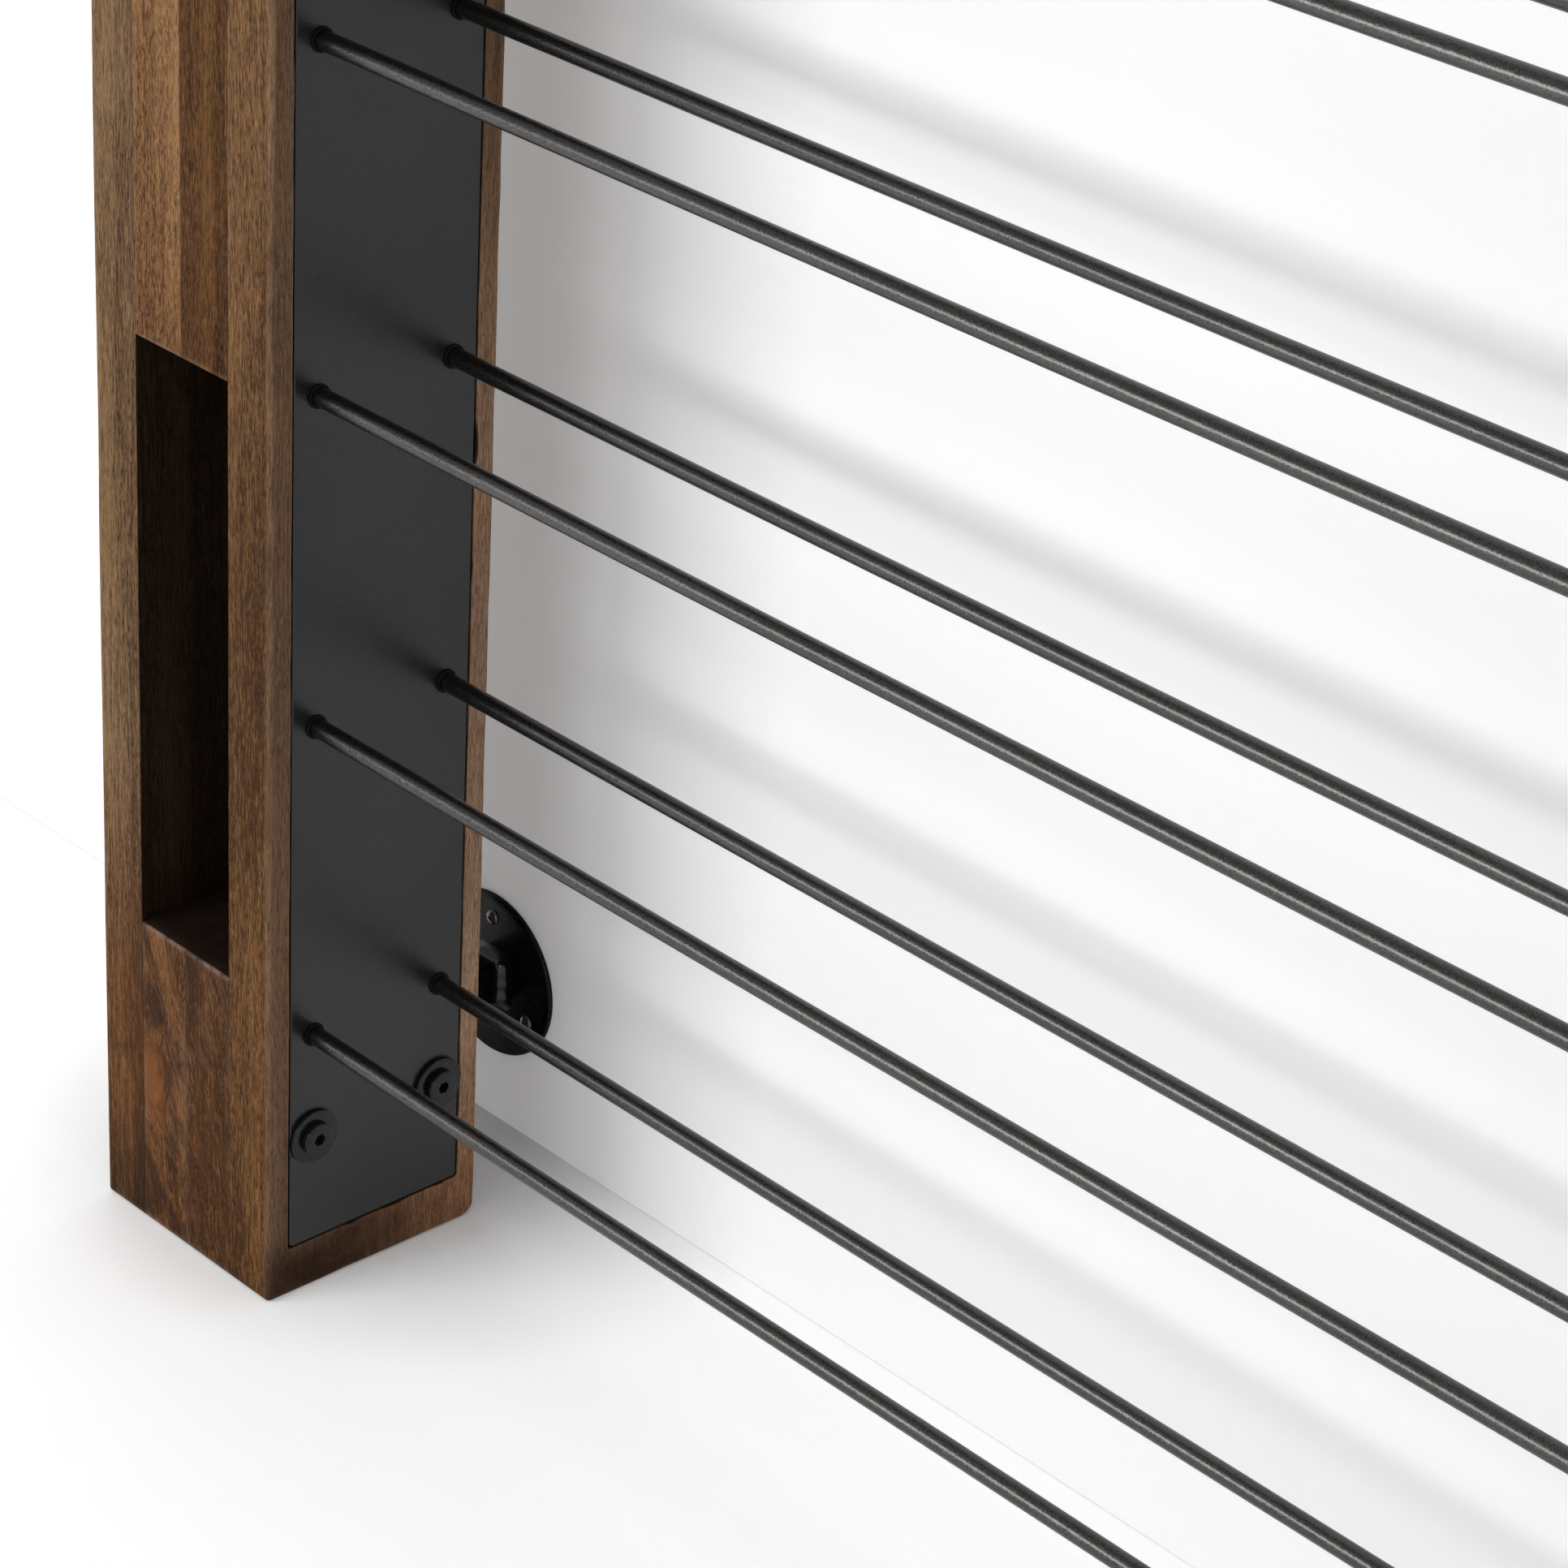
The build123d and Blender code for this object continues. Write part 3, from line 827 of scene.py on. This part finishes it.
def side_plate(side):
    """The plate's rounded outline at three depths - back, below the bevel, face - with a fan on both flat sides."""
    box = np.array([plate_low.y, plate_high.y, plate_low.z, plate_high.z])
    full = rectangle_loop(*box, PLATE_CORNER_R)
    face = rectangle_loop(*(box + BEVEL * np.array([1, -1, 1, -1])), PLATE_CORNER_R - BEVEL)
    depths = [plate_low.x, plate_high.x - BEVEL, plate_high.x]
    cols = len(full)
    rings = [np.column_stack([np.full(cols, x), yz]) for x, yz in zip(depths, (full, full, face))]
    centre = [(plate_low.y + plate_high.y) / 2, (plate_low.z + plate_high.z) / 2]
    points = np.concatenate([*rings, [[depths[0], *centre], [depths[2], *centre]]])
    ring = np.arange(cols)
    faces = [grid_faces(3, cols), fan_faces(ring, 3 * cols), fan_faces(ring + 2 * cols, 3 * cols + 1)]
    return build(f"{side}_side_plate_steel", on_side(points, side), faces, plate_finish, "black_steel_plate",
                 [f"{side}_side_plate"], sharp_deg=25)


for side in SIDES:
    side_plate(side)
print("plate", round(plate_high.y - plate_low.y, 4), "x", round(plate_high.z - plate_low.z, 4), "m")

# %% [markdown]
# ## Turned pieces
# Rods, collars, washers, screw heads and flanges are all turned shapes: a profile of (distance along the axis,
# radius) spun round an axis. Blender's Screw modifier spins one piece at a time. Here one function spins a profile,
# and others set it down at many places at once. A radius can also follow a hexagon instead of a circle, which gives
# the socket in a screw head.

# %% Turning
TURN = 48


def hexagon(angle, flat):
    """The radius of a hexagon with this distance from its middle to a flat, at each angle."""
    return flat / np.cos((angle % (np.pi / 3)) - np.pi / 6)


def spin(profile, turn):
    """Rows of (along, radius), or (along, flat, "hex"), as three arrays: along, radius x cos and radius x sin."""
    angle = np.linspace(0, 2 * np.pi, turn, endpoint=False)
    radius = np.stack([hexagon(angle, row[1]) if row[2:] else np.full(turn, row[1]) for row in profile])
    along = np.broadcast_to(np.array([row[0] for row in profile])[:, None], radius.shape)
    return along, radius * np.cos(angle), radius * np.sin(angle)


def repeated(faces, points_each, count):
    """One piece's faces, numbered for each of its copies."""
    return [faces + k * points_each for k in range(count)]


def turned(name, profile, places, material, slot, nodes=(), closed=True):
    """A profile spun round an axis along X at each place (x, y, z, direction). A closed profile is a ring, and any
    other starts and ends on the axis."""
    spun = np.stack(spin(profile, TURN), -1)
    places = np.array(places, float)
    facing = np.column_stack([places[:, 3], np.ones((len(places), 2))])
    points = spun * facing[:, None, None, :] + places[:, None, None, :3]
    one = grid_faces(len(profile), TURN, wrap_rows=closed)
    return build(name, points, repeated(one, len(profile) * TURN, len(places)), material, slot, nodes)


print("turned pieces have", TURN, "sides")

# %% [markdown]
# ## Gunmetal rods
# The rods are drawn steel under a dark lacquer: nearly black on one side, with a broad speckled highlight on the
# other. A plain grey metal looks like new chrome, so the base is dark, the roughness is broad, and a fine grain
# breaks the highlight into flecks.

# %% Gunmetal
ROD_DARK, ROD_LIGHT = (0.053, 0.0514, 0.0495), (0.098, 0.0954, 0.0924)
ROD_RELIEF = 0.34


def gunmetal(name):
    """Dark metal with a speckled tone and roughness and fine drawn lines along X."""
    material, shader, place = start(name)
    speck = noise(place, (1500, 1500, 1500), 1.0, 0.6)
    drawn = noise(place, (30, 2200, 2200), 2.0)
    patch = noise(place, (9, 40, 40), 3.0)
    tone = weighed((speck, 0.75), (patch, 0.25))
    fill(shader, Base_Color=ramp(tone, (0.36, ROD_DARK), (0.64, ROD_LIGHT)), Metallic=1.0,
         Roughness=ramp(speck, (0.30, 0.27), (0.70, 0.39)),
         Normal=relief(weighed((speck, 0.9), (drawn, 0.1)), ROD_RELIEF))
    return material


rod_finish = gunmetal("gunmetal_rod")
print("finish:", rod_finish.name)

# %% Rods
ROD_TIP, ROD_STATIONS = 0.5 * MM, 23
rod_names = sorted(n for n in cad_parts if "_rod_" in n and "collars" not in n)
for name in rod_names:
    low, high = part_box(name)
    rod_r, half = (high.z - low.z) / 2, (high.x - low.x) / 2
    profile = [(-half, 0), (-half, rod_r - ROD_TIP), (ROD_TIP - half, rod_r)]
    profile += [(x, rod_r) for x in np.linspace(-half, half, ROD_STATIONS)[1:-1]]
    profile += [(-x, r) for x, r in profile[2::-1]]
    turned(f"{name}_steel", profile, [(0, (low.y + high.y) / 2, (low.z + high.z) / 2, 1)], rod_finish,
           "gunmetal_steel", [name], closed=False)
print("rods:", len(rod_names), "of diameter", round(2 * rod_r, 4))

# %% [markdown]
# ## Collars, washers and screws
# Where a rod leaves the plate, a small black ring hides the hole. Large thick washers and low flat heads with a
# hexagon socket hold the plate. All are ring or cap profiles with softly broken edges, because a sharp edge
# would show no highlight at this size.

# %% Broken edges
QUARTER = np.linspace(0, np.pi / 2, 5)


def unit(vectors):
    """Each vector at length 1."""
    return vectors / np.maximum(np.linalg.norm(vectors, axis=1, keepdims=True), 1e-12)


def rounded(corners, ease, steps=4):
    """A profile whose corners C are replaced by short turns from A to B, which lie an ease to each side:
    (1-t)^2 A + 2t(1-t) C + t^2 B."""
    pts = np.array(corners, float)
    ease = np.reshape(ease, (-1, 1))
    a = pts + unit(np.roll(pts, 1, 0) - pts) * ease
    b = pts + unit(np.roll(pts, -1, 0) - pts) * ease
    t = np.linspace(0, 1, steps)[None, :, None]
    curve = (1 - t) ** 2 * a[:, None] + 2 * t * (1 - t) * pts[:, None] + t ** 2 * b[:, None]
    return [(x, r) for x, r in curve.reshape(-1, 2)]


def rolled_edge(top, radius, edge_r):
    """A quarter turn from a side of this radius over onto a face at this height."""
    return [(top - edge_r * (1 - np.sin(a)), radius - edge_r * (1 - np.cos(a))) for a in QUARTER]


def ring_profile(bore, radius, thick, ease_mm):
    """A ring's section with its four corners eased, from the bore at the seat round."""
    return rounded([(0, bore), (0, radius), (thick, radius), (thick, bore)], np.array(ease_mm) * MM)


print("a ring's section has", len(ring_profile(1, 2, 1, [0.1] * 4)), "points")

# %% Collars
COLLAR_FIT = 0.05 * MM
rubber = satin_black("black_rubber_collar", (0.0035, 0.0035, 0.0035), 0.70, grain=900.0, peel=0.05, specular=0.10)
face_x = plate_high.x
rod_rows = [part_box("front_rod_01"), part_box("rear_rod_01")]
rod_levels = [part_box(n) for n in rod_names if n.startswith("front")]
rod_y = [(low.y + high.y) / 2 for low, high in rod_rows]
rod_z = [(low.z + high.z) / 2 for low, high in rod_levels]
collar_low, collar_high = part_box("left_rod_collars")
collar_r, collar_t = collar_high.z - rod_z[-1], collar_high.x - collar_low.x
collar_ring = ring_profile(rod_r + COLLAR_FIT, collar_r, collar_t, [0.1, 0.15, 0.6, 0.25])
for side, way in SIDES.items():
    seats = [(face_x * way, y, z, way) for y in rod_y for z in rod_z]
    turned(f"{side}_rod_collar_rings", collar_ring, seats, rubber, "black_rubber", [f"{side}_rod_collars"])
print("collars:", len(SIDES) * len(rod_y) * len(rod_z))

# %% Washers and screws
WASHER_R, WASHER_T, WASHER_BORE = 12.5 * MM, 2.0 * MM, 4.2 * MM
HEAD_R, HEAD_H, HEAD_EDGE_R, HEAD_FOOT = 7.5 * MM, 3.0 * MM, 0.7 * MM, 0.3 * MM
SOCKET_FLAT, SOCKET_DEPTH, SHANK_R, SHANK_L = 2.5 * MM, 2.4 * MM, 4.0 * MM, 18.0 * MM
fastener = satin_black("blackened_fastener", (0.0060, 0.0058, 0.0057), 0.16, peel=0.10, specular=0.25)
washer_low, washer_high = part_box("plate_washers")
screw_y = [washer_low.y + WASHER_R, washer_high.y - WASHER_R]
screw_z = [washer_low.z + WASHER_R, washer_high.z - WASHER_R]
screw_places = [(face_x * way, y, z, way) for way in SIDES.values() for y in screw_y for z in screw_z]
turned("plate_washer_rings", ring_profile(WASHER_BORE, WASHER_R, WASHER_T, [0.2, 0.3, 0.55, 0.3]), screw_places,
       fastener, "blackened_steel", ["plate_washers"])

head_top = WASHER_T + HEAD_H
profile = [(-SHANK_L, 0), (-SHANK_L, SHANK_R), (WASHER_T, SHANK_R), (WASHER_T, HEAD_R - HEAD_FOOT),
           (WASHER_T + HEAD_FOOT, HEAD_R), *rolled_edge(head_top, HEAD_R, HEAD_EDGE_R)]
profile += [(head_top, SOCKET_FLAT, "hex"), (head_top - SOCKET_DEPTH, SOCKET_FLAT, "hex"),
            (head_top - SOCKET_DEPTH - 0.1 * MM, 0)]
turned("plate_screw_heads", profile, screw_places, fastener, "blackened_steel", ["plate_screws"], closed=False)
print("screws:", len(screw_places))

# %% [markdown]
# ## Wall brackets
# Behind each post a square tube stands off from a round flange on the wall, welded to it all round. The parts are
# enamelled black and read by their glints: the rolled rim of the flange, the lumpy weld, and the heads of the wall
# screws. Tube and flange could simply meet, but a sharp corner there has no glint, so the weld is made: a square
# section that flares towards the flange, with ripples along it.

# %% Bracket finishes
enamel = satin_black("gloss_black_enamel", (0.0042, 0.0042, 0.0043), 0.20, grain=420.0, peel=0.05, specular=0.11)
weld_finish = satin_black("lumpy_black_weld", (0.0042, 0.0042, 0.0043), 0.14, grain=300.0, peel=0.20,
                          specular=0.45)
screw_polish = satin_black("polished_wall_screw", (0.045, 0.045, 0.046), 0.20, specular=0.8)
inside = satin_black("zinc_insert", (0.42, 0.41, 0.38), 0.35, metallic=1.0)
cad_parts["threaded_inserts"].data.materials.clear()
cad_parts["threaded_inserts"].data.materials.append(inside)
print("finishes:", ", ".join(m.name for m in (enamel, weld_finish, screw_polish, inside)))

# %% Pieces on the wall
def spun_on_wall(name, profile, places, material, nodes=(), turn=72):
    """A profile of (distance from the wall, radius) spun round an axis along -Y at each place (x, wall y, z)."""
    away, across, up = spin(profile, turn)
    points = np.stack([across, -away, up], -1) + np.array(places, float)[:, None, None, :]
    faces = repeated(grid_faces(len(profile), turn), len(profile) * turn, len(places))
    return build(name, points, faces, material, "black_enamel", nodes)


def square_loop(half, corner, per_side=14):
    """Points round a square with rounded corners in the XZ plane, evenly stepped along its sides."""
    flat = half - corner
    t = np.linspace(-1, 1, per_side) * flat
    edge = np.full(per_side, half)
    arc = np.linspace(0, np.pi / 2, 6)[1:-1]
    sides = [np.stack(xz, -1) for xz in ((t, -edge), (edge, t), (-t, edge), (-edge, -t))]
    ends = [(flat, -flat, -np.pi / 2), (flat, flat, 0), (-flat, flat, np.pi / 2), (-flat, -flat, np.pi)]
    bends = [np.stack([x + corner * np.cos(b + arc), z + corner * np.sin(b + arc)], -1) for x, z, b in ends]
    return np.concatenate([part for pair in zip(sides, bends) for part in pair])


def square_run(name, rows, centre, material, nodes=()):
    """A square section carried along Y and back again inside itself: each row is (y, loop), and the last row joins
    the first."""
    cols = len(rows[0][1])
    points = np.stack([np.column_stack([xz[:, 0] + centre[0], np.full(cols, y), xz[:, 1] + centre[1]])
                       for y, xz in rows])
    return build(name, points, [grid_faces(len(rows), cols, wrap_rows=True)], material, "black_enamel", nodes)


print("a square section has", len(square_loop(1, 0.1)), "points")

# %% Flange and wall screws
FLANGE_RIM_R, FLANGE_BACK_EASE = 1.5 * MM, 0.4 * MM
BOLT_CIRCLE_R, BOLT_ANGLES = 29.0 * MM, np.radians([90, 210, 330])
DOME_R, DOME_H, DOME_TOP = 2.6 * MM, 1.9 * MM, 1.0 * MM


def flange_disc(bracket, centre, radius, thick, wall_y):
    """A disc with a rolled front rim."""
    profile = [(0, 0), (0, radius - FLANGE_BACK_EASE), (FLANGE_BACK_EASE, radius),
               *rolled_edge(thick, radius, FLANGE_RIM_R), (thick, radius * 0.9), (thick, 0)]
    spun_on_wall(f"{bracket}_flange_disc", profile, [(centre[0], wall_y, centre[1])], enamel,
                 [f"{bracket}_wall_flange"])


def wall_screws(bracket, centre, flange_y):
    """Three domed heads with a small hexagon socket, on the bolt circle."""
    heads = [(centre[0] + BOLT_CIRCLE_R * np.cos(a), flange_y, centre[1] + BOLT_CIRCLE_R * np.sin(a))
             for a in BOLT_ANGLES]
    profile = [(0, 0)] + [(DOME_H * np.sin(a), DOME_TOP + DOME_R * np.cos(a)) for a in np.linspace(0, np.pi / 2, 6)]
    profile += [(1.0 * MM, 0.9 * MM, "hex"), (0.9 * MM, 0)]
    spun_on_wall(f"{bracket}_wall_screw_heads", profile, heads, screw_polish, turn=36)


print("wall screws on a circle of radius", BOLT_CIRCLE_R, "m")

# %% Tube and weld
TUBE_CORNER_R, TUBE_WALL = 2.5 * MM, 2.0 * MM
WELD_HIGH, WELD_WIDE, WELD_RIPPLE = 7.0 * MM, 4.6 * MM, 0.35 * MM


def standoff_bar(bracket, centre, half, y0, y1):
    """A square tube: its skin from y0 to y1 and its hollow back again."""
    skin, hollow = square_loop(half, TUBE_CORNER_R), square_loop(half - TUBE_WALL, 1.0 * MM)
    rows = [(y0, skin), (y1, skin), (y1, hollow), (y0, hollow)]
    square_run(f"{bracket}_standoff_bar", rows, centre, enamel, [f"{bracket}_standoff_tube"])


def weld_bead(bracket, centre, half, flange_y, seed):
    """The tube's section, widened by wide x (1 - f)^2.6 at a share f of the weld's height, with ripples that swell
    in the middle."""
    skin = square_loop(half, TUBE_CORNER_R)
    flare = np.linspace(0, 1, 9)
    ripple = WELD_RIPPLE * smooth_noise(len(skin), 30, seed)[:, None]
    spread = WELD_WIDE * (1 - flare) ** 2.6
    swell = np.sin(np.pi * flare)
    rows = [(flange_y - WELD_HIGH * f, square_loop(half + s, TUBE_CORNER_R + 0.5 * s) + ripple * b * np.sign(skin))
            for f, s, b in zip(flare, spread, swell)]
    root = square_loop(half - 0.5 * MM, 2.0 * MM)
    rows += [(flange_y - WELD_HIGH, root), (flange_y, root)]
    square_run(f"{bracket}_weld_bead", rows, centre, weld_finish)


print("weld", WELD_HIGH, "m high")

# %% Four brackets
brackets = [f"{side}_{level}" for side in SIDES for level in ("lower", "upper")]
for number, bracket in enumerate(brackets):
    low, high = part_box(f"{bracket}_wall_flange")
    tube_low, tube_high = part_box(f"{bracket}_standoff_tube")
    centre = ((low.x + high.x) / 2, (low.z + high.z) / 2)
    flange_r, flange_y, half = (high.x - low.x) / 2, tube_high.y, (tube_high.x - tube_low.x) / 2
    flange_disc(bracket, centre, flange_r, high.y - flange_y, high.y)
    standoff_bar(bracket, centre, half, tube_low.y, tube_high.y)
    weld_bead(bracket, centre, half, flange_y, 80 + number)
    wall_screws(bracket, centre, flange_y)
print("brackets:", len(brackets), "flange radius", round(flange_r, 4))

# %% [markdown]
# ## Floor and wall
# The rack stands on a pale floor against a pale wall, both of matt paint. More light would whiten them and bleach
# the wood, so they are lifted towards white for the eye and for reflections alone. Beside the posts the lift is
# lowered, which paints shade there on top of the real soft shadows. Seen from behind, the wall lets the eye through.

# %% Pale paint
REACH, WALL_H, FAR_LIFT = 6.0, 4.0, 0.62
SHADE_Y, SHADE_NEAR, SHADE_FAR = 0.045, 0.06, 0.18
SHEET_GAP = 0.3 * MM
wall_at = cad_box[1][1] + SHEET_GAP


def seen_rays(tree):
    """1 for rays that the eye, a mirror or a glass sees, and 0 for rays that carry light between surfaces."""
    path = add("LightPath", tree=tree).outputs
    through = calc("MAXIMUM", path["Is Glossy Ray"], path["Is Transmission Ray"])
    return calc("MAXIMUM", path["Is Camera Ray"], through)


def painted_post_shade(at, shade):
    """Painted shade: the shade value next to a post and 1 from a hand's width away, by the distance in plan from the
    nearer post.
    """
    across = minus(calc("ABSOLUTE", at[0]), abs(seam_x))
    away = distance(across, minus(at[1], SHADE_Y))
    return ramp(away, (SHADE_NEAR, shade), (SHADE_FAR, 1.0))


def pale(name, tone, lift, shade, see_through_back=False, past_wall=0.0):
    """Matt paint with a faint mottle, and a glow of lift x painted shade for the eye. past_wall is the lift where the
    wall keeps the lamps off the floor."""
    material, shader, place = start(name)
    cloud = noise(place, (3, 3, 3), 3.0)
    low = tuple(c * 0.985 for c in tone)
    fill(shader, Base_Color=ramp(cloud, (0.3, low), (0.7, tone)), Roughness=0.7, Specular_IOR_Level=0.2)
    tree = shader.id_data
    at = parts_of(place)
    reach = calc("DIVIDE", add("VectorMath", {"operation": "LENGTH"}, i0=place).outputs["Value"], REACH)
    lifted = ramp(reach, (0.22, lift), (0.60, FAR_LIFT))
    lifted = calc("MAXIMUM", lifted, ramp(at[1], (wall_at, 0.0), (wall_at + 0.004, past_wall)))
    # Painted shade: the glow for the eye is dimmed beside the posts.
    strength = times(seen_rays(tree), times(lifted, painted_post_shade(at, shade)))
    glow = add("Emission", Strength=strength).outputs[0]
    surface = add("AddShader", i0=shader.outputs[0], i1=glow).outputs[0]
    if see_through_back:
        behind = add("NewGeometry", tree=tree).outputs["Backfacing"]
        clear = add("BsdfTransparent", tree=tree).outputs[0]
        surface = add("MixShader", Fac=behind, i1=surface, i2=clear).outputs[0]
    fill(tree.nodes["Material Output"], Surface=surface)
    return material


floor_paint = pale("pale_floor", (0.93, 0.93, 0.93), 0.34, 0.05, past_wall=0.72)
wall_paint = pale("pale_wall", (0.93, 0.93, 0.935), 0.22, 0.70, see_through_back=True)
print("paints:", floor_paint.name, wall_paint.name)

# %% Floor and wall
def stage_sheet(name, corners, material):
    """A flat sheet through four corners, anticlockwise as seen from its front."""
    mesh = bpy.data.meshes.new(name)
    mesh.from_pydata(corners, [], [(0, 1, 2, 3)])
    mesh.materials.append(material)
    sheet = bpy.data.objects.new(name, mesh)
    bpy.context.scene.collection.objects.link(sheet)
    return sheet


square = [(-REACH, -REACH), (REACH, -REACH), (REACH, REACH), (-REACH, REACH)]
upright = [(-REACH, 0), (REACH, 0), (REACH, WALL_H), (-REACH, WALL_H)]
stage_sheet("floor", [(x, y, -SHEET_GAP) for x, y in square], floor_paint)
stage_sheet("wall", [(x, wall_at, z) for x, z in upright], wall_paint)
print("wall at y", round(wall_at, 4))

# %% [markdown]
# ## Light
# An even sky alone would leave the rods without a highlight, so the rack is lit as in a studio. A wide softbox in
# front and a strong narrow one at the left give the rods' highlights and their soft shadows on the wall. One overhead
# and one at the far left fill the wood, and a small one at the right only makes glints. The overhead lamp stays out
# of reflections, which keeps the rods' upper sides dark. A weak sky fills the rest.

# %% Lamps
def softbox(name, at, towards, width, height, radiance):
    """A rectangular lamp whose surface has this radiance: power = pi x area x radiance."""
    data = bpy.data.lights.new(name, "AREA")
    data.shape = "RECTANGLE"
    data.size, data.size_y = width, height
    data.energy = np.pi * width * height * radiance
    lamp = bpy.data.objects.new(name, data)
    bpy.context.scene.collection.objects.link(lamp)
    lamp.location = at
    lamp.rotation_euler = (Vector(towards) - Vector(at)).to_track_quat("-Z", "Y").to_euler()
    lamp.visible_camera = False
    return lamp


softbox("front_softbox", (-0.10, -1.75, 0.76), (-0.10, 0.0, 0.32), 1.6, 0.62, 1.2)
softbox("rod_softbox", (-1.08, -1.72, 0.76), (-0.45, 0.0, 0.33), 0.95, 0.36, 14.3)
overhead = softbox("top_softbox", (0.1, -0.9, 2.3), (0.1, -0.8, 0.0), 3.0, 2.2, 0.85)
overhead.visible_glossy = False
glint = softbox("glint_softbox", (1.40, -0.98, 0.62), (-0.50, -0.05, 0.12), 0.50, 0.50, 9.0)
glint.visible_diffuse = False
softbox("left_softbox", (-2.3, -0.95, 0.55), (-0.55, 0.08, 0.40), 1.0, 1.2, 0.8)
print("lamps:", len(bpy.data.lights))

# %% Sky
FILL, SEEN, MIRRORED = 0.14, 0.90, 0.50
world = bpy.data.worlds.new("room")
world.use_nodes = True
bpy.context.scene.world = world
path = add("LightPath", tree=world.node_tree).outputs
strength = weighed((path["Is Camera Ray"], SEEN - FILL), (path["Is Glossy Ray"], MIRRORED - FILL))
fill(world.node_tree.nodes["Background"], Color=(1, 1, 1, 1), Strength=calc("ADD", strength, FILL))
bpy.context.scene.view_settings.view_transform = "Standard"
print("sky lights at", FILL, "and shows at", SEEN)

# %% [markdown] ## Size and finish The finished pieces must fill the same box as the CAD model.
